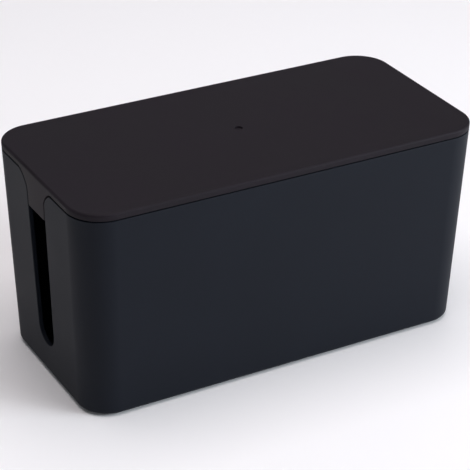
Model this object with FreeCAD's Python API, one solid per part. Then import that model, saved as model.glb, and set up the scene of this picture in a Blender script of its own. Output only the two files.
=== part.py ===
import FreeCAD, Part

import math
import os

# A lidded cable box, made as its maker moulds it: a tray with a cable slot in each end wall, a lift-off lid
# whose two end tongues close the tops of the slots, and four rubber feet stuck in recesses under the floor.
# X runs along the length, Y from front to back and Z up. The origin is on the table, under the middle.
# All sizes are in millimetres.

# Outside of the closed box, at the lid's top edge
length = 235.0
width = 114.0
height = 120.0                 # from the table to the top of the lid
rim_corner_radius = 19.0
base_corner_radius = 17.0
lean = 4.4                     # how far each wall comes in on its way down, which lets it leave the mould
base_edge_radius = 2.6

# Tray
wall = 2.5
floor_thickness = 2.5
inner_floor_radius = 2.0
rim_depth = 4.3                # from the top of the lid down to the tray's rim
moulded_edge = 0.4             # the small round on every other outer and inner edge

# Cable slot, one in each end wall
slot_bottom = 19.3             # lowest point, above the table
slot_width_low = 18.8          # where its round end starts
slot_width_high = 21.8         # where it would meet the rim
slot_shoulder_radius = 8.0     # the curve from the slot's side out to the rim

# Lid
lid_thickness = 2.5
lid_edge_radius = 1.5
shadow_gap = 0.6               # the groove that shows between the lid's edge and the tray
shadow_groove_depth = 1.0
tongue_depth = 22.0            # from the top of the lid down to the tongue's end
tongue_corner_radius = 0.9
seat_clearance = 0.05          # between the lid's seat and the rim that it rests on
lip_depth = 5.0                # how far the locating lip reaches below the rim
lip_thickness = 1.6
lip_clearance = 0.4
lip_end_gap = 2.0              # between the lip's end and the slot's shoulder
gusset_thickness = 1.6
gusset_height = 11.0           # below the lid's plate
gusset_reach = 6.0             # along the plate, from the tongue's inner face
gusset_spacing = 10.0
root = 0.5                     # how far the seat, the lip and the gussets are sunk in the plate

# Marks that the moulding leaves, in the middle of the lid and of the tray's underside
gate_recess_diameter = 4.4
gate_recess_depth = 1.0
gate_stub_diameter = 1.5
gate_stub_height = 0.3
ejector_diameter = 7.0
ejector_depth = 0.2
ejector_spacing_x = 78.0
ejector_spacing_y = 62.0

# Feet
foot_diameter = 12.0
foot_stand = 1.0               # how far the feet hold the tray off the table
foot_recess_depth = 0.8
foot_recess_clearance = 0.2    # all round the foot
foot_edge_radius = 0.4
adhesive_thickness = 0.2
adhesive_inset = 0.4
foot_inset = 22.0              # from each side of the base to the foot's middle

# Heights that follow
base_z = foot_stand
floor_z = base_z + floor_thickness
rim_z = height - rim_depth
plate_z = height - lid_thickness
tongue_z = height - tongue_depth
beyond = 10.0                  # how far a cutting tool runs past what it cuts
near = 1e-3                    # two places this close count as one
edge_margin = 1.0              # how far past a slot's shoulder its edges are looked for

parts_folder = "parts"


def rounded_wire(corners, to_space):
    """A closed wire through corners (u, v, radius), each rounded by its radius."""
    edges = []
    starts, ends, middles = [], [], []
    count = len(corners)
    for i, (u, v, radius) in enumerate(corners):
        here = FreeCAD.Vector(u, v, 0)
        before = (FreeCAD.Vector(*corners[i - 1][:2], 0) - here).normalize()
        after = (FreeCAD.Vector(*corners[(i + 1) % count][:2], 0) - here).normalize()
        half = before.getAngle(after) / 2
        reach = radius / math.tan(half)
        starts.append(here + before * reach)
        ends.append(here + after * reach)
        bisector = (before + after).normalize()
        middles.append(here + bisector * (radius / math.sin(half) - radius))
    for i, (u, v, radius) in enumerate(corners):
        if radius > 0:
            arc = [to_space(p.x, p.y) for p in (starts[i], middles[i], ends[i])]
            edges.append(Part.Arc(*arc).toShape())
        run = [to_space(p.x, p.y) for p in (ends[i], starts[(i + 1) % count])]
        if (run[1] - run[0]).Length > near:
            edges.append(Part.LineSegment(*run).toShape())
    return Part.Wire(edges)


def lean_at(z):
    """How far the outer surface has come in at height z."""
    return lean * (height - z) / (height - base_z)


def half_length_at(z):
    return length / 2 - lean_at(z)


def half_width_at(z):
    return width / 2 - lean_at(z)


def outline(z, inset):
    """The box's outline at height z, as far inside the outer surface as inset says."""
    half_x = half_length_at(z) - inset
    half_y = half_width_at(z) - inset
    rise = (z - base_z) / (height - base_z)
    radius = base_corner_radius + (rim_corner_radius - base_corner_radius) * rise - inset
    signs = ((1, 1), (-1, 1), (-1, -1), (1, -1))
    corners = [(sx * half_x, sy * half_y, radius) for sx, sy in signs]
    return rounded_wire(corners, lambda u, v: FreeCAD.Vector(u, v, z))


def tapered_block(low_z, high_z, inset):
    """A solid block between two heights, whose sides follow the box's walls."""
    return Part.makeLoft([outline(low_z, inset), outline(high_z, inset)], True, True)


def tapered_ring(low_z, high_z, outer_inset, inner_inset):
    hollow = tapered_block(low_z - beyond, high_z + beyond, inner_inset)
    return tapered_block(low_z, high_z, outer_inset).cut(hollow)


def end_on_prism(corners):
    """A prism that runs the whole length of the box. Its outline is drawn in Y and Z."""
    reach = length / 2 + beyond
    wire = rounded_wire(corners, lambda u, v: FreeCAD.Vector(-reach, u, v))
    return Part.Face(wire).extrude(FreeCAD.Vector(2 * reach, 0, 0))


def slot_half_width_at(z):
    """Half the slot's width at height z, on its straight sides."""
    low_z = slot_bottom + slot_width_low / 2
    share = (z - low_z) / (rim_z - low_z)
    return (slot_width_low + (slot_width_high - slot_width_low) * share) / 2


def above_rim_and_slots():
    """What is taken off the tray: all above its rim, and the two slots down to their round ends."""
    far = width / 2 + beyond
    low_half = slot_half_width_at(slot_bottom)
    high_half = slot_half_width_at(rim_z)
    side_angle = math.atan2(high_half - low_half, rim_z - slot_bottom)
    round_end = low_half * math.tan((math.pi / 2 + side_angle) / 2)
    top = height + beyond
    return end_on_prism([
        (-far, top, 0),
        (-far, rim_z, 0),
        (-high_half, rim_z, slot_shoulder_radius),
        (-low_half, slot_bottom, round_end),
        (low_half, slot_bottom, round_end),
        (high_half, rim_z, slot_shoulder_radius),
        (far, rim_z, 0),
        (far, top, 0),
    ])


def lid_zone():
    """What the lid's skirt and tongues are kept from: all above the shadow gap, and the tongues' outline."""
    far = width / 2 + beyond
    edge_z = rim_z + shadow_gap
    high_half = slot_half_width_at(edge_z) - shadow_gap
    low_half = slot_half_width_at(tongue_z) - shadow_gap
    shoulder = slot_shoulder_radius + shadow_gap
    top = height + beyond
    return end_on_prism([
        (-far, top, 0),
        (-far, edge_z, 0),
        (-high_half, edge_z, shoulder),
        (-low_half, tongue_z, tongue_corner_radius),
        (low_half, tongue_z, tongue_corner_radius),
        (high_half, edge_z, shoulder),
        (far, edge_z, 0),
        (far, top, 0),
    ])


def edges_at_height(shape, z):
    """The edges that lie wholly at height z."""
    return [e for e in shape.Edges if abs(e.BoundBox.ZMin - z) < near and abs(e.BoundBox.ZMax - z) < near]


def seam_edges(shape, seam_z, low_z):
    """The edges where the walls were cut: along the seam, and round the slots or tongues down to low_z."""
    slot_reach = slot_half_width_at(rim_z) + slot_shoulder_radius + edge_margin
    found = []
    for e in shape.Edges:
        box = e.BoundBox
        across = box.XMax - box.XMin > wall / 2 and abs(box.YMax) < slot_reach
        by_slot = abs(box.Center.y) < slot_reach and abs(box.Center.x) > length / 4
        in_end_wall = by_slot and box.ZMin > low_z - near and box.ZMax < seam_z + near
        on_seam = abs(box.ZMin - seam_z) < near and abs(box.ZMax - seam_z) < near
        if (in_end_wall or on_seam) and not across:
            found.append(e)
    return found


def disc(diameter, low_z, high_z, x=0.0, y=0.0):
    place = FreeCAD.Vector(x, y, low_z)
    return Part.makeCylinder(diameter / 2, high_z - low_z, place)


def gate_mark(surface_z, outward):
    """The recess round a gate, with the broken-off stub in it. outward is 1 on a top and -1 underneath."""
    bottom_z = surface_z - outward * gate_recess_depth
    stub_z = bottom_z + outward * gate_stub_height
    low, high = sorted((bottom_z, surface_z + outward * beyond))
    stub_low, stub_high = sorted((bottom_z, stub_z))
    return disc(gate_recess_diameter, low, high).cut(disc(gate_stub_diameter, stub_low, stub_high))


def foot_places():
    """The feet by name, each with the place of its middle."""
    foot_x = half_length_at(base_z) - foot_inset
    foot_y = half_width_at(base_z) - foot_inset
    return {
        "foot_front_left": (-foot_x, -foot_y),
        "foot_front_right": (foot_x, -foot_y),
        "foot_back_left": (-foot_x, foot_y),
        "foot_back_right": (foot_x, foot_y),
    }


def make_tray():
    outside = tapered_block(base_z, height, 0)
    outside = outside.makeFillet(base_edge_radius, edges_at_height(outside, base_z))
    inside = tapered_block(floor_z, height + beyond, wall)
    inside = inside.makeFillet(inner_floor_radius, edges_at_height(inside, floor_z))
    tray = outside.cut(inside).cut(above_rim_and_slots())
    tray = tray.makeFillet(moulded_edge, seam_edges(tray, rim_z, slot_bottom))
    for x, y in foot_places().values():
        recess = foot_diameter + 2 * foot_recess_clearance
        tray = tray.cut(disc(recess, base_z - beyond, base_z + foot_recess_depth, x, y))
    for x in (-ejector_spacing_x, 0, ejector_spacing_x):
        for y in (-ejector_spacing_y / 2, ejector_spacing_y / 2):
            tray = tray.cut(disc(ejector_diameter, floor_z - ejector_depth, floor_z + beyond, x, y))
    return tray.cut(gate_mark(base_z, -1))


def make_gusset(end, y):
    """A rib in the angle between a tongue and the plate. end is -1 or 1, for the left or the right end."""
    low_z = plate_z - gusset_height
    inner_low = half_length_at(low_z) - wall
    inner_high = half_length_at(plate_z) - wall
    corners = [
        (inner_low + root, low_z),
        (inner_low, low_z),
        (inner_high - gusset_reach, plate_z),
        (inner_high - gusset_reach, plate_z + root),
        (inner_high + root, plate_z + root),
    ]
    points = [FreeCAD.Vector(end * x, y - gusset_thickness / 2, z) for x, z in corners]
    face = Part.Face(Part.makePolygon(points + points[:1]))
    return face.extrude(FreeCAD.Vector(0, gusset_thickness, 0))


def make_lid():
    outside = tapered_block(tongue_z - beyond, height, 0)
    outside = outside.makeFillet(lid_edge_radius, edges_at_height(outside, height))
    hollow = tapered_block(tongue_z - 2 * beyond, plate_z, wall)
    lid = outside.cut(hollow).common(lid_zone())
    lid = lid.makeFillet(moulded_edge, seam_edges(lid, rim_z + shadow_gap, tongue_z))

    # The seat rests on the rim and the lip reaches down inside the walls. Both stop short of the slots.
    lip_outer = wall + lip_clearance
    lip_inner = lip_outer + lip_thickness
    seat = tapered_ring(rim_z + seat_clearance, plate_z + root, shadow_groove_depth, lip_inner)
    lip = tapered_ring(rim_z - lip_depth, plate_z + root, lip_outer, lip_inner)
    keep_clear = slot_half_width_at(rim_z) + slot_shoulder_radius + lip_end_gap
    window_low = rim_z - lip_depth - beyond
    window = Part.makeBox(length + 2 * beyond, 2 * keep_clear, plate_z - window_low,
                          FreeCAD.Vector(-length / 2 - beyond, -keep_clear, window_low))
    lid = lid.fuse([seat.cut(window), lip.cut(window)])

    gussets = [make_gusset(end, side * gusset_spacing / 2) for end in (-1, 1) for side in (-1, 1)]
    lid = lid.fuse(gussets).removeSplitter()
    return lid.cut(gate_mark(height, 1))


def make_foot(x, y):
    top_z = base_z + foot_recess_depth - adhesive_thickness
    foot = disc(foot_diameter, 0, top_z, x, y)
    return foot.makeFillet(foot_edge_radius, edges_at_height(foot, 0))


def make_adhesive_discs():
    top_z = base_z + foot_recess_depth
    across = foot_diameter - 2 * adhesive_inset
    discs = [disc(across, top_z - adhesive_thickness, top_z, x, y) for x, y in foot_places().values()]
    return Part.makeCompound(discs)


def main():
    os.makedirs(parts_folder, exist_ok=True)
    pieces = {
        "tray": make_tray(),
        "lid": make_lid(),
        "foot_adhesive_discs": make_adhesive_discs(),
    }
    for name, (x, y) in foot_places().items():
        pieces[name] = make_foot(x, y)
    for name, shape in pieces.items():
        shape.exportStep(os.path.join(parts_folder, name + ".step"))
        print(name, "solids", len(shape.Solids), "volume", round(shape.Volume, 1), "valid", shape.isValid())


main()
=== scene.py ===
import math

import bmesh
import bpy
from mathutils import Matrix, Vector


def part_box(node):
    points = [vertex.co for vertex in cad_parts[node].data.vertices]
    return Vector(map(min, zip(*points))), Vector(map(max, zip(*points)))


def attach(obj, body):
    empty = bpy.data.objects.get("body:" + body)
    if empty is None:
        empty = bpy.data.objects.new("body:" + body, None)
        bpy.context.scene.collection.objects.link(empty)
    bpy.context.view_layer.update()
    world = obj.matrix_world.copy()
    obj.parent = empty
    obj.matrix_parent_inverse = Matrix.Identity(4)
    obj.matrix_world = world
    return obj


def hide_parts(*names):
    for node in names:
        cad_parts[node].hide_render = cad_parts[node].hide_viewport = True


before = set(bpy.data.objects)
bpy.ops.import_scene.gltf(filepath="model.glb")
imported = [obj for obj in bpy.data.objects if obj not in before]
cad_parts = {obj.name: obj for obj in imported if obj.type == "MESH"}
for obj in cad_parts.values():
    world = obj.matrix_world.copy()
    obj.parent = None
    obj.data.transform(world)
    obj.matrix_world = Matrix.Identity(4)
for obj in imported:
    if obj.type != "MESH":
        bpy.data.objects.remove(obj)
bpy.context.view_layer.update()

mm = 0.001
beyond = 10 * mm          # how far a cutting tool runs past what it cuts
sameSpot = 0.02 * mm      # points this close count as level with each other, or as one
facing = 0.99             # a face looks along an axis when its normal's share of it is above this
roundProfile = 0.5        # the profile that makes a bevel an arc

# Heights that the frame settles
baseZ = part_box("tray")[0].z
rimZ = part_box("tray")[1].z
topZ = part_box("lid")[1].z
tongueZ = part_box("lid")[0].z

# The closed box, whose outline the tray and the lid share
boxShape = {
    "length": 235 * mm,
    "width": 114 * mm,
    "lean": 4.4 * mm,               # how far each wall comes in from the top to the base
    "rimCornerRadius": 19 * mm,
    "baseCornerRadius": 17 * mm,
    "wall": 2.5 * mm,
    "cornerSegments": 28,
    "mouldedEdge": 0.4 * mm,        # the small round on every other edge
    "mouldedEdgeSegments": 3,
}


# Selecting and combining

def deselectAll():
    if bpy.context.mode != "OBJECT":
        bpy.ops.object.mode_set(mode="OBJECT")
    bpy.ops.object.select_all(action="DESELECT")


def startPiece(addPrimitive, name, **settings):
    # a new primitive at the origin, open in edit mode with all of it selected
    deselectAll()
    addPrimitive(enter_editmode=True, **settings)
    piece = bpy.context.object
    piece.name = name
    return piece


def choose(piece):
    deselectAll()
    bpy.context.view_layer.objects.active = piece
    piece.select_set(True)


def openPiece(piece):
    choose(piece)
    bpy.ops.object.mode_set(mode="EDIT")


def pick(kind, test):
    # in edit mode, selects what passes the test and nothing else
    bpy.ops.mesh.select_mode(type=kind)
    bpy.ops.mesh.select_all(action="DESELECT")
    data = bpy.context.edit_object.data
    mesh = bmesh.from_edit_mesh(data)
    mesh.normal_update()
    for item in {"VERT": mesh.verts, "EDGE": mesh.edges, "FACE": mesh.faces}[kind]:
        if test(item):
            item.select_set(True)
    bmesh.update_edit_mesh(data)


def isLevel(edge, z):
    return all(abs(v.co.z - z) < sameSpot for v in edge.verts)


def isSharp(edge, leastDegrees=50):
    return edge.is_manifold and edge.calc_face_angle() > math.radians(leastDegrees)


def roundOff(radius, segments):
    # in edit mode, rounds the selected edges
    bpy.ops.mesh.bevel(offset=radius, segments=segments, profile=roundProfile, affect="EDGES")


def combine(piece, tool, operation):
    choose(piece)
    modifier = piece.modifiers.new(name=operation, type="BOOLEAN")
    modifier.object = tool
    modifier.operation = operation
    modifier.solver = "EXACT"
    bpy.ops.object.modifier_apply(modifier=modifier.name)
    bpy.data.objects.remove(tool)


def finishSurface(piece, smoothDegrees=35):
    # round parts shade smooth and flat walls stay flat
    choose(piece)
    bpy.ops.object.shade_smooth_by_angle(angle=math.radians(smoothDegrees))
    modifier = piece.modifiers.new(name="flatWalls", type="WEIGHTED_NORMAL")
    modifier.keep_sharp = True
    modifier.weight = 100      # 50 is even-handed; at 100 the largest faces settle the shading
    bpy.ops.object.modifier_apply(modifier=modifier.name)


# Shapes that the tray and the lid share

def leanAt(z):
    return boxShape["lean"] * (topZ - z) / (topZ - baseZ)


def halfLengthAt(z):
    return boxShape["length"] / 2 - leanAt(z)


def halfWidthAt(z):
    return boxShape["width"] / 2 - leanAt(z)


def shapeOutline(z, inset):
    # in edit mode with a new unit plane selected: makes it the box's outline at height z
    rise = (z - baseZ) / (topZ - baseZ)
    radius = boxShape["baseCornerRadius"]
    radius += (boxShape["rimCornerRadius"] - boxShape["baseCornerRadius"]) * rise - inset
    across = (2 * (halfLengthAt(z) - inset), 2 * (halfWidthAt(z) - inset), 1)
    bpy.ops.transform.resize(value=across, center_override=(0, 0, 0))
    bpy.ops.transform.translate(value=(0, 0, z))
    bpy.ops.mesh.bevel(offset=radius, offset_type="ABSOLUTE", segments=boxShape["cornerSegments"],
                       profile=roundProfile, affect="VERTICES")


def makeBlock(name, lowZ, highZ, inset, roundedZ=None, roundedBy=0.0, segments=6):
    # a block between two heights whose sides follow the walls, with the edges at roundedZ rounded
    block = startPiece(bpy.ops.mesh.primitive_plane_add, name, size=1)
    shapeOutline(lowZ, inset)
    bpy.ops.mesh.select_all(action="DESELECT")
    bpy.ops.mesh.primitive_plane_add(size=1)
    shapeOutline(highZ, inset)
    bpy.ops.mesh.select_all(action="SELECT")
    bpy.ops.mesh.bridge_edge_loops()
    for z in (lowZ, highZ):
        pick("EDGE", lambda e: isLevel(e, z))
        bpy.ops.mesh.edge_face_add()
    bpy.ops.mesh.select_all(action="SELECT")
    bpy.ops.mesh.normals_make_consistent(inside=False)
    if roundedZ is not None:
        pick("EDGE", lambda e: isLevel(e, roundedZ))
        roundOff(roundedBy, segments)
    deselectAll()
    return block


def makeCube(name, low, high):
    cube = startPiece(bpy.ops.mesh.primitive_cube_add, name, size=1)
    bpy.ops.transform.resize(value=Vector(high) - Vector(low), center_override=(0, 0, 0))
    bpy.ops.transform.translate(value=(Vector(high) + Vector(low)) / 2)
    return cube


def makeEndOnTool(name, shelfZ, shelfHalf, lowZ, lowHalf, shoulder, endRound):
    # runs the box's whole length: all above shelfZ, and a strip down to lowZ in the middle of the width
    farX = boxShape["length"] / 2 + beyond
    farY = boxShape["width"] / 2 + beyond
    tool = makeCube(name, (-farX, -farY, shelfZ), (farX, farY, topZ + beyond))
    for side in (-1, 1):
        bpy.ops.mesh.select_all(action="SELECT")
        bpy.ops.mesh.bisect(plane_co=(0, side * shelfHalf, 0), plane_no=(0, 1, 0))
    pick("FACE", lambda f: f.normal.z < -facing and abs(f.calc_center_median().y) < shelfHalf / 2)
    bpy.ops.mesh.extrude_region_move(TRANSFORM_OT_translate={"value": (0, 0, lowZ - shelfZ)})
    bpy.ops.transform.resize(value=(1, lowHalf / shelfHalf, 1), center_override=(0, 0, lowZ))
    for z, half, radius in ((shelfZ, shelfHalf, shoulder), (lowZ, lowHalf, endRound)):
        pick("EDGE", lambda e: isLevel(e, z) and all(abs(abs(v.co.y) - half) < sameSpot for v in e.verts))
        roundOff(radius, boxShape["cornerSegments"])
    deselectAll()
    return tool


def roundMouldedEdges(piece, isWanted):
    openPiece(piece)
    pick("EDGE", lambda e: isSharp(e) and isWanted(e))
    roundOff(boxShape["mouldedEdge"], boxShape["mouldedEdgeSegments"])
    bpy.ops.mesh.select_all(action="SELECT")
    bpy.ops.mesh.remove_doubles(threshold=sameSpot)      # joins points that two bevels put in one place
    deselectAll()


# Round marks in the moulding: gates, ejector pins and the feet's recesses

markShape = {
    "gateRadius": 2.2 * mm,
    "gateDepth": 1.0 * mm,
    "stubRadius": 0.75 * mm,      # what is left of the broken-off sprue
    "stubHeight": 0.3 * mm,
    "edge": 0.12 * mm,
    "innerEdgeSegments": 3,
    "rimEdgeSegments": 2,
    "segments": 48,
}


def makeMarkTool(name, radius, x, y, surfaceZ, depth, outward, hasStub=False):
    # a round tool that goes into the surface by its depth. outward is 1 on a top and -1 on an underside
    endZ = surfaceZ - outward * depth
    tool = startPiece(bpy.ops.mesh.primitive_cylinder_add, name, vertices=markShape["segments"],
                      radius=radius, depth=beyond)
    bpy.ops.transform.translate(value=(x, y, endZ + outward * beyond / 2))
    pick("FACE", lambda f: f.normal.z * outward < -facing)
    roundOff(markShape["edge"], markShape["innerEdgeSegments"])
    if hasStub:
        pick("FACE", lambda f: f.normal.z * outward < -facing and f.calc_area() > radius * radius)
        bpy.ops.mesh.inset(thickness=radius - markShape["edge"] - markShape["stubRadius"], depth=0)
        bpy.ops.transform.translate(value=(0, 0, outward * markShape["stubHeight"]))
    deselectAll()
    return tool


def cutMark(piece, radius, x, y, surfaceZ, depth, outward, hasStub=False):
    combine(piece, makeMarkTool("mark", radius, x, y, surfaceZ, depth, outward, hasStub), "DIFFERENCE")
    openPiece(piece)
    slack = 0.05 * mm
    pick("EDGE", lambda e: isLevel(e, surfaceZ) and all(
        abs(math.hypot(v.co.x - x, v.co.y - y) - radius) < slack for v in e.verts))
    roundOff(markShape["edge"], markShape["rimEdgeSegments"])
    deselectAll()


def footPlaces():
    found = []
    for node in sorted(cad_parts):
        if node.startswith("foot_") and node != "foot_adhesive_discs":
            low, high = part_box(node)
            found.append((node, (low.x + high.x) / 2, (low.y + high.y) / 2))
    return found


# Tray

trayShape = {
    "floorThickness": 2.5 * mm,
    "baseEdgeRadius": 2.6 * mm,
    "innerFloorRadius": 2.0 * mm,
    "slotBottom": 19.3 * mm,
    "slotWidthLow": 18.8 * mm,
    "slotWidthHigh": 21.8 * mm,
    "slotShoulder": 8.0 * mm,
    "ejectorRadius": 3.5 * mm,
    "ejectorDepth": 0.2 * mm,
    "ejectorSpacing": (78 * mm, 62 * mm),
    "footRecessRadius": 6.2 * mm,
    "footRecessDepth": 0.8 * mm,
}


def slotHalfWidthAt(z):
    lowHalf = trayShape["slotWidthLow"] / 2
    highHalf = trayShape["slotWidthHigh"] / 2
    lowZ = trayShape["slotBottom"] + lowHalf
    return lowHalf + (highHalf - lowHalf) * (z - lowZ) / (rimZ - lowZ)


def makeTray():
    floorZ = baseZ + trayShape["floorThickness"]
    tray = makeBlock("tray_shell", baseZ, topZ, 0, baseZ, trayShape["baseEdgeRadius"])
    hollow = makeBlock("hollow", floorZ, topZ + beyond, boxShape["wall"], floorZ, trayShape["innerFloorRadius"])
    combine(tray, hollow, "DIFFERENCE")

    lowHalf = slotHalfWidthAt(trayShape["slotBottom"])
    fullRound = lowHalf - sameSpot      # a hair less than half the width, so that the two rounds don't touch
    slots = makeEndOnTool("slots", rimZ, slotHalfWidthAt(rimZ), trayShape["slotBottom"], lowHalf,
                          trayShape["slotShoulder"], fullRound)
    combine(tray, slots, "DIFFERENCE")
    roundMouldedEdges(tray, lambda e: min(v.co.z for v in e.verts) > trayShape["slotBottom"] - sameSpot)

    for node, x, y in footPlaces():
        cutMark(tray, trayShape["footRecessRadius"], x, y, baseZ, trayShape["footRecessDepth"], -1)
    stepX, stepY = trayShape["ejectorSpacing"]
    for x in (-stepX, 0, stepX):
        for y in (-stepY / 2, stepY / 2):
            cutMark(tray, trayShape["ejectorRadius"], x, y, floorZ, trayShape["ejectorDepth"], 1)
    cutMark(tray, markShape["gateRadius"], 0, 0, baseZ, markShape["gateDepth"], -1, hasStub=True)
    finishSurface(tray)
    return tray


# Lid

lidShape = {
    "thickness": 2.5 * mm,
    "edgeRadius": 1.5 * mm,
    "tongueGap": 0.6 * mm,
    "endSeam": 0.85 * mm,           # the seam is a little wider over the end walls than along the sides
    "sideSeam": 0.38 * mm,
    "shadowGrooveDepth": 1.0 * mm,
    "tongueCornerRadius": 0.9 * mm,
    "seatClearance": 0.05 * mm,
    "lipDepth": 5.0 * mm,
    "lipThickness": 1.6 * mm,
    "lipClearance": 0.4 * mm,
    "lipEndGap": 2.0 * mm,
    "gussetThickness": 1.6 * mm,
    "gussetHeight": 11 * mm,
    "gussetReach": 6 * mm,
    "gussetSpacing": 10 * mm,
    "root": 0.5 * mm,               # how far the seat, the lip and the gussets are sunk in the plate
}


def makeGusset(end, y):
    plateZ = topZ - lidShape["thickness"]
    lowZ = plateZ - lidShape["gussetHeight"]
    innerX = halfLengthAt(plateZ) - boxShape["wall"]
    innerLowX = halfLengthAt(lowZ) - boxShape["wall"]
    half = lidShape["gussetThickness"] / 2
    low = (innerX - lidShape["gussetReach"], y - half, lowZ)
    high = (innerX + lidShape["root"], y + half, plateZ + lidShape["root"])
    gusset = makeCube("gusset", low, high)
    pick("VERT", lambda v: v.co.x < innerX - sameSpot and v.co.z < lowZ + sameSpot)
    bpy.ops.transform.translate(value=(innerLowX - low[0], 0, 0))      # slopes the free edge
    pick("VERT", lambda v: v.co.x > innerX and v.co.z < lowZ + sameSpot)
    bpy.ops.transform.translate(value=(innerLowX - innerX, 0, 0))      # keeps the root inside the leaning tongue
    if end < 0:
        bpy.ops.mesh.select_all(action="SELECT")
        bpy.ops.transform.rotate(value=math.pi, orient_axis="Z", center_override=(0, 0, 0))
    deselectAll()
    return gusset


def makeLid():
    plateZ = topZ - lidShape["thickness"]
    edgeZ = rimZ + lidShape["endSeam"]
    gap = lidShape["tongueGap"]
    lid = makeBlock("lid_shell", tongueZ - beyond, topZ, 0, topZ, lidShape["edgeRadius"])
    combine(lid, makeBlock("hollow", tongueZ - 2 * beyond, plateZ, boxShape["wall"]), "DIFFERENCE")
    zone = makeEndOnTool("zone", edgeZ, slotHalfWidthAt(edgeZ) - gap, tongueZ, slotHalfWidthAt(tongueZ) - gap,
                         trayShape["slotShoulder"] + gap, lidShape["tongueCornerRadius"])
    openPiece(zone)
    pick("VERT", lambda v: abs(v.co.z - edgeZ) < sameSpot and abs(v.co.y) > halfWidthAt(topZ))
    bpy.ops.transform.translate(value=(0, 0, lidShape["sideSeam"] - lidShape["endSeam"]))
    deselectAll()
    combine(lid, zone, "INTERSECT")
    roundMouldedEdges(lid, lambda e: max(v.co.z for v in e.verts) < plateZ - sameSpot)

    # the seat rests on the rim and the lip reaches down inside the walls; both stop short of the slots
    lipOuter = boxShape["wall"] + lidShape["lipClearance"]
    lipZ = rimZ - lidShape["lipDepth"]
    keepClear = slotHalfWidthAt(rimZ) + trayShape["slotShoulder"] + lidShape["lipEndGap"]
    seat = makeBlock("seat", rimZ + lidShape["seatClearance"], plateZ + lidShape["root"],
                     lidShape["shadowGrooveDepth"])
    combine(seat, makeBlock("lip", lipZ, plateZ, lipOuter), "UNION")
    hollow = makeBlock("hollow", lipZ - beyond, topZ + beyond, lipOuter + lidShape["lipThickness"])
    combine(seat, hollow, "DIFFERENCE")
    window = makeCube("window", (-boxShape["length"], -keepClear, lipZ - beyond),
                      (boxShape["length"], keepClear, topZ + beyond))
    combine(seat, window, "DIFFERENCE")
    combine(lid, seat, "UNION")
    for end in (-1, 1):
        for side in (-1, 1):
            combine(lid, makeGusset(end, side * lidShape["gussetSpacing"] / 2), "UNION")
    cutMark(lid, markShape["gateRadius"], 0, 0, topZ, markShape["gateDepth"], 1, hasStub=True)
    finishSurface(lid)
    return lid


# Feet

footShape = {
    "diameter": 12 * mm,
    "edgeRadius": 0.4 * mm,
    "edgeSegments": 5,
    "dishRim": 1.3 * mm,          # flat ring round the dished sole
    "dishDepth": 0.15 * mm,
    "dishSlope": 0.3 * mm,        # width of the ring that slopes down into the dish
    "segments": 64,
}


def makeFirstFoot(node):
    # one foot, modelled in the place of the node it stands for
    low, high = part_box(node)
    foot = startPiece(bpy.ops.mesh.primitive_cylinder_add, node + "_pad", vertices=footShape["segments"],
                      radius=footShape["diameter"] / 2, depth=high.z - low.z)
    bpy.ops.transform.translate(value=(low + high) / 2)
    pick("EDGE", lambda e: isLevel(e, low.z))
    roundOff(footShape["edgeRadius"], footShape["edgeSegments"])
    pick("FACE", lambda f: f.normal.z < -facing and len(f.verts) > 4)
    bpy.ops.mesh.inset(thickness=footShape["dishRim"], depth=0)
    bpy.ops.mesh.inset(thickness=footShape["dishSlope"], depth=0)
    bpy.ops.transform.translate(value=(0, 0, footShape["dishDepth"]))
    finishSurface(foot)
    return foot


def copyFoot(foot, fromPlace, node, toPlace):
    choose(foot)
    bpy.ops.object.duplicate(linked=False)
    twin = bpy.context.object
    twin.name = node + "_pad"
    bpy.ops.transform.translate(value=(toPlace[0] - fromPlace[0], toPlace[1] - fromPlace[1], 0))
    bpy.ops.object.transform_apply(location=True, rotation=False, scale=False)
    return twin


# Materials

def linearColour(hexText):
    channels = [int(hexText[i:i + 2], 16) / 255 for i in (1, 3, 5)]
    linear = [c / 12.92 if c <= 0.04045 else ((c + 0.055) / 1.055) ** 2.4 for c in channels]
    return (*linear, 1.0)


def addNode(tree, kind, settings=None, links=None):
    node = tree.nodes.new(kind)
    for key, value in (settings or {}).items():
        if isinstance(key, int) or key in node.inputs:
            node.inputs[key].default_value = value
        else:
            setattr(node, key, value)
    for key, source in (links or {}).items():
        tree.links.new(source, node.inputs[key])
    return node


def newMaterial(name):
    material = bpy.data.materials.new(name)
    material.use_nodes = True
    material.node_tree.nodes.clear()
    return material, material.node_tree


def perMetre(size):
    return 1 / size


def objectPlace(tree):
    return addNode(tree, "ShaderNodeTexCoord").outputs["Object"]


def addColours(tree, pattern, places, hexTexts):
    # a ramp from one colour to another, between two places in the pattern
    ramp = addNode(tree, "ShaderNodeValToRGB", {}, {"Fac": pattern})
    for stop, position, hexText in zip(ramp.color_ramp.elements, places, hexTexts):
        stop.position = position
        stop.color = linearColour(hexText)
    return ramp.outputs["Color"]


def showSurface(tree, surface):
    addNode(tree, "ShaderNodeOutputMaterial", {}, {"Surface": surface})


# ABS, injection moulded against spark-eroded steel: a deep black with a soft, even sheen and no gloss.
# The grit is really about 0.1 mm across; it is drawn coarser, so that it shows as a faint grain.
absFinish = {
    "grit": 0.45 * mm,
    "gritHeight": 0.010 * mm,
    "gritDetail": 2.0,
    "gritRoughness": 0.6,
    "flowPatch": 55 * mm,           # slow changes of sheen where the melt cooled unevenly
    "flowDetail": 3.0,
    "flowRoughness": 0.55,
    "colourPlaces": (0.35, 0.65),   # where in the patches the dark and the light colour begin
    "sheenPlaces": (0.3, 0.7),
    "ripple": 38 * mm,              # the walls are never quite flat
    "rippleDetail": 1.0,
    "rippleHeight": 0.05 * mm,
    "ior": 1.3,                     # lower than in real ABS: the photo's far edges hardly shine
    "specular": 0.3,
}

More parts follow.
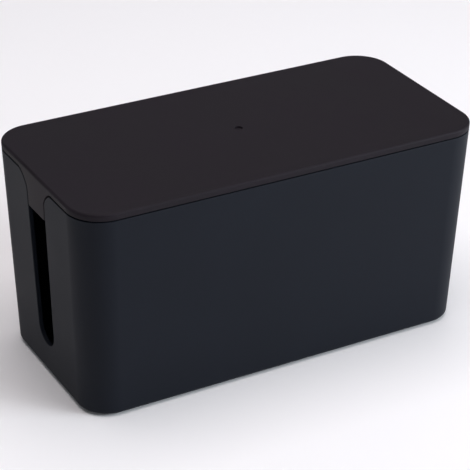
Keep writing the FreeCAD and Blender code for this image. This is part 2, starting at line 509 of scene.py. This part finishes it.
# name: (dark colour, light colour, least roughness, most roughness)
absLooks = {
    "moulded_abs_tray": ("#0f131b", "#11151d", 0.54, 0.60),
    # the lid is the same plastic as the tray; its colours are painted lighter and pinker, standing in for the
    # warm light its top catches from above
    "moulded_abs_lid_painted_top_light": ("#181419", "#1b161c", 0.56, 0.62),
}


def makeMouldedAbs(name):
    darkHex, lightHex, roughLow, roughHigh = absLooks[name]
    material, tree = newMaterial(name)
    where = objectPlace(tree)
    patches = addNode(tree, "ShaderNodeTexNoise",
                      {"Scale": perMetre(absFinish["flowPatch"]), "Detail": absFinish["flowDetail"],
                       "Roughness": absFinish["flowRoughness"]}, {"Vector": where})
    colour = addColours(tree, patches.outputs["Fac"], absFinish["colourPlaces"], (darkHex, lightHex))
    sheenFrom, sheenTo = absFinish["sheenPlaces"]
    sheen = addNode(tree, "ShaderNodeMapRange",
                    {"From Min": sheenFrom, "From Max": sheenTo, "To Min": roughLow, "To Max": roughHigh},
                    {"Value": patches.outputs["Fac"]})
    ripple = addNode(tree, "ShaderNodeTexNoise",
                     {"Scale": perMetre(absFinish["ripple"]), "Detail": absFinish["rippleDetail"]},
                     {"Vector": where})
    waves = addNode(tree, "ShaderNodeBump", {"Distance": absFinish["rippleHeight"]},
                    {"Height": ripple.outputs["Fac"]})
    grit = addNode(tree, "ShaderNodeTexNoise",
                   {"Scale": perMetre(absFinish["grit"]), "Detail": absFinish["gritDetail"],
                    "Roughness": absFinish["gritRoughness"]}, {"Vector": where})
    grain = addNode(tree, "ShaderNodeBump", {"Distance": absFinish["gritHeight"]},
                    {"Height": grit.outputs["Fac"], "Normal": waves.outputs["Normal"]})
    shader = addNode(tree, "ShaderNodeBsdfPrincipled",
                     {"IOR": absFinish["ior"], "Specular IOR Level": absFinish["specular"]},
                     {"Base Color": colour, "Roughness": sheen.outputs["Result"],
                      "Normal": grain.outputs["Normal"]})
    showSurface(tree, shader.outputs["BSDF"])
    return material


# Synthetic rubber, compression moulded: a dull black with a fine, even pebble and a dusting of bloom.
rubberFinish = {
    "pebble": 0.35 * mm,
    "pebbleHeight": 0.03 * mm,
    "bloomPatch": 3 * mm,
    "bloomDetail": 4.0,
    "bloomPlaces": (0.4, 0.75),
    "colours": ("#171717", "#24231f"),      # bare rubber, bloom
    "roughness": 0.78,
    "ior": 1.52,
}


def makeRubber():
    material, tree = newMaterial("compression_moulded_rubber")
    where = objectPlace(tree)
    bloom = addNode(tree, "ShaderNodeTexNoise",
                    {"Scale": perMetre(rubberFinish["bloomPatch"]), "Detail": rubberFinish["bloomDetail"]},
                    {"Vector": where})
    colour = addColours(tree, bloom.outputs["Fac"], rubberFinish["bloomPlaces"], rubberFinish["colours"])
    pebble = addNode(tree, "ShaderNodeTexVoronoi", {"Scale": perMetre(rubberFinish["pebble"])}, {"Vector": where})
    bump = addNode(tree, "ShaderNodeBump", {"Distance": rubberFinish["pebbleHeight"]},
                   {"Height": pebble.outputs["Distance"]})
    shader = addNode(tree, "ShaderNodeBsdfPrincipled",
                     {"Roughness": rubberFinish["roughness"], "IOR": rubberFinish["ior"]},
                     {"Base Color": colour, "Normal": bump.outputs["Normal"]})
    showSurface(tree, shader.outputs["BSDF"])
    return material


# Acrylic adhesive film, coated on both sides: a milky, slightly yellow edge with tiny trapped bubbles.
adhesiveFinish = {
    "bubble": 0.5 * mm,
    "bubblePlaces": (0.1, 0.35),
    "colours": ("#e4dfd0", "#cfc9b4"),      # bubbles, film
    "roughness": 0.35,
    "ior": 1.47,
}


def makeAdhesive():
    material, tree = newMaterial("coated_acrylic_adhesive")
    bubbles = addNode(tree, "ShaderNodeTexVoronoi", {"Scale": perMetre(adhesiveFinish["bubble"])},
                      {"Vector": objectPlace(tree)})
    colour = addColours(tree, bubbles.outputs["Distance"], adhesiveFinish["bubblePlaces"],
                        adhesiveFinish["colours"])
    shader = addNode(tree, "ShaderNodeBsdfPrincipled",
                     {"Roughness": adhesiveFinish["roughness"], "IOR": adhesiveFinish["ior"]},
                     {"Base Color": colour})
    showSurface(tree, shader.outputs["BSDF"])
    return material


# Putting the pieces on their bodies

def place(piece, material, body, slot, *nodes):
    piece.data.materials.clear()
    piece.data.materials.append(material)
    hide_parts(*nodes)
    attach(piece, body)


trayPlastic = makeMouldedAbs("moulded_abs_tray")
lidPlastic = makeMouldedAbs("moulded_abs_lid_painted_top_light")
rubber = makeRubber()

tray = makeTray()
place(tray, trayPlastic, "base", "tray_plastic", "tray")
print("tray", len(tray.data.polygons), "faces")

lid = makeLid()
place(lid, lidPlastic, "cover", "lid_plastic", "lid")
print("lid", len(lid.data.polygons), "faces")

places = footPlaces()
firstNode, firstX, firstY = places[0]
firstFoot = makeFirstFoot(firstNode)
feet = {firstNode: firstFoot}
for node, x, y in places[1:]:
    feet[node] = copyFoot(firstFoot, (firstX, firstY), node, (x, y))
for node, foot in feet.items():
    place(foot, rubber, "base", "foot_rubber", node)
print("feet", len(feet))

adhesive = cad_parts["foot_adhesive_discs"]
adhesive.data.materials.clear()
adhesive.data.materials.append(makeAdhesive())
print("adhesive discs carried over")


# Camera, at the photograph's angle

cameraView = {
    "azimuth": -29.298,           # degrees
    "elevation": 28.488,
    "roll": 0.704,
    "distance": 1017.67 * mm,
    "focalPixels": 1877.37,
    "imagePixels": 470,
    "aimHeight": 60.5 * mm,
    "slideRight": 1.257 * mm,     # how far the aim point lies right of and above the picture's middle
    "slideUp": 4.144 * mm,
    "sensor": 36.0,               # width in mm, as the lens is
}


def makeCamera():
    azimuth = math.radians(cameraView["azimuth"])
    elevation = math.radians(cameraView["elevation"])
    roll = math.radians(cameraView["roll"])
    level = Vector((math.cos(azimuth), math.sin(azimuth), 0))
    back = Vector((math.sin(azimuth) * math.cos(elevation), -math.cos(azimuth) * math.cos(elevation),
                   math.sin(elevation)))
    upright = back.cross(level)
    right = math.cos(roll) * level + math.sin(roll) * upright
    up = -math.sin(roll) * level + math.cos(roll) * upright
    spot = Vector((0, 0, cameraView["aimHeight"])) - cameraView["slideRight"] * right
    spot += cameraView["distance"] * back - cameraView["slideUp"] * up
    data = bpy.data.cameras.new("camera")
    data.sensor_width = cameraView["sensor"]
    data.lens = cameraView["sensor"] * cameraView["focalPixels"] / cameraView["imagePixels"]
    camera = bpy.data.objects.new("camera", data)
    bpy.context.scene.collection.objects.link(camera)
    turned = Matrix((right, up, back)).transposed().to_4x4()
    camera.matrix_world = Matrix.Translation(spot) @ turned
    bpy.context.scene.camera = camera


# Studio: a pale floor that sweeps up all round, soft lamps and a plain skylight

studio = {
    # lengths in metres
    "floorRadius": 3.0,
    "floorSegments": 96,
    "sweepRadius": 1.5,           # where the floor turns up into the wall all round
    "sweepSteps": 10,
    "wallHeight": 1.2,            # above the sweep
    "paint": "#fbfbfb",
    "paintRoughness": 0.9,
    "paintSpecular": 0.2,
    "skylight": 0.2,
    "skyColour": "#f3f8ff",
    "lamps": {
        # name: (place, width, watts, colour)
        "overhead": ((0.0, 0.0, 1.6), 1.4, 18.0, "#fff6f8"),
        "frontRightLow": ((1.4, -1.25, 0.45), 0.8, 30.0, "#eef6ff"),
        "frontRightHigh": ((0.8, -1.3, 1.4), 0.7, 7.0, "#f8fbff"),
        "backRight": ((0.8, 1.4, 1.0), 1.2, 0.8, "#fff4fa"),
    },
    "aim": (0, 0, 0.06),
}


def makeFloor():
    # a round floor that sweeps up into a low wall
    floor = startPiece(bpy.ops.mesh.primitive_circle_add, "floor", vertices=studio["floorSegments"],
                       radius=studio["floorRadius"], fill_type="NGON")
    pick("EDGE", lambda e: e.is_boundary)
    radius = studio["floorRadius"]
    height = 0.0
    for step in range(1, studio["sweepSteps"] + 1):
        angle = math.pi / 2 * step / studio["sweepSteps"]
        nextRadius = studio["floorRadius"] + studio["sweepRadius"] * math.sin(angle)
        nextHeight = studio["sweepRadius"] * (1 - math.cos(angle))
        bpy.ops.mesh.extrude_region_move(TRANSFORM_OT_translate={"value": (0, 0, nextHeight - height)})
        wider = nextRadius / radius
        bpy.ops.transform.resize(value=(wider, wider, 1), center_override=(0, 0, nextHeight))
        radius, height = nextRadius, nextHeight
    bpy.ops.mesh.extrude_region_move(TRANSFORM_OT_translate={"value": (0, 0, studio["wallHeight"])})
    deselectAll()
    floor.data.polygons.foreach_set("use_smooth", [True] * len(floor.data.polygons))
    material, tree = newMaterial("painted_floor")
    paint = addNode(tree, "ShaderNodeBsdfPrincipled",
                    {"Base Color": linearColour(studio["paint"]), "Roughness": studio["paintRoughness"],
                     "Specular IOR Level": studio["paintSpecular"]})
    clear = addNode(tree, "ShaderNodeBsdfTransparent")
    side = addNode(tree, "ShaderNodeNewGeometry")
    # from below, the floor is clear, so that the underside can be looked at
    mixed = addNode(tree, "ShaderNodeMixShader", {},
                    {0: side.outputs["Backfacing"], 1: paint.outputs["BSDF"], 2: clear.outputs["BSDF"]})
    showSurface(tree, mixed.outputs["Shader"])
    floor.data.materials.append(material)


def makeLamps():
    for name, (spot, width, watts, colour) in studio["lamps"].items():
        data = bpy.data.lights.new(name, type="AREA")
        data.size = width
        data.energy = watts
        data.color = linearColour(colour)[:3]
        lamp = bpy.data.objects.new(name, data)
        bpy.context.scene.collection.objects.link(lamp)
        lamp.location = spot
        lamp.rotation_euler = (Vector(studio["aim"]) - Vector(spot)).to_track_quat("-Z", "Y").to_euler()


def makeSkylight():
    world = bpy.data.worlds.new("skylight")
    bpy.context.scene.world = world
    world.use_nodes = True
    tree = world.node_tree
    tree.nodes.clear()
    glow = addNode(tree, "ShaderNodeBackground",
                   {"Color": linearColour(studio["skyColour"]), "Strength": studio["skylight"]})
    addNode(tree, "ShaderNodeOutputWorld", {}, {"Surface": glow.outputs["Background"]})


makeCamera()
makeFloor()
makeLamps()
makeSkylight()
bpy.context.scene.view_settings.view_transform = "Standard"
print("camera, floor and lights")
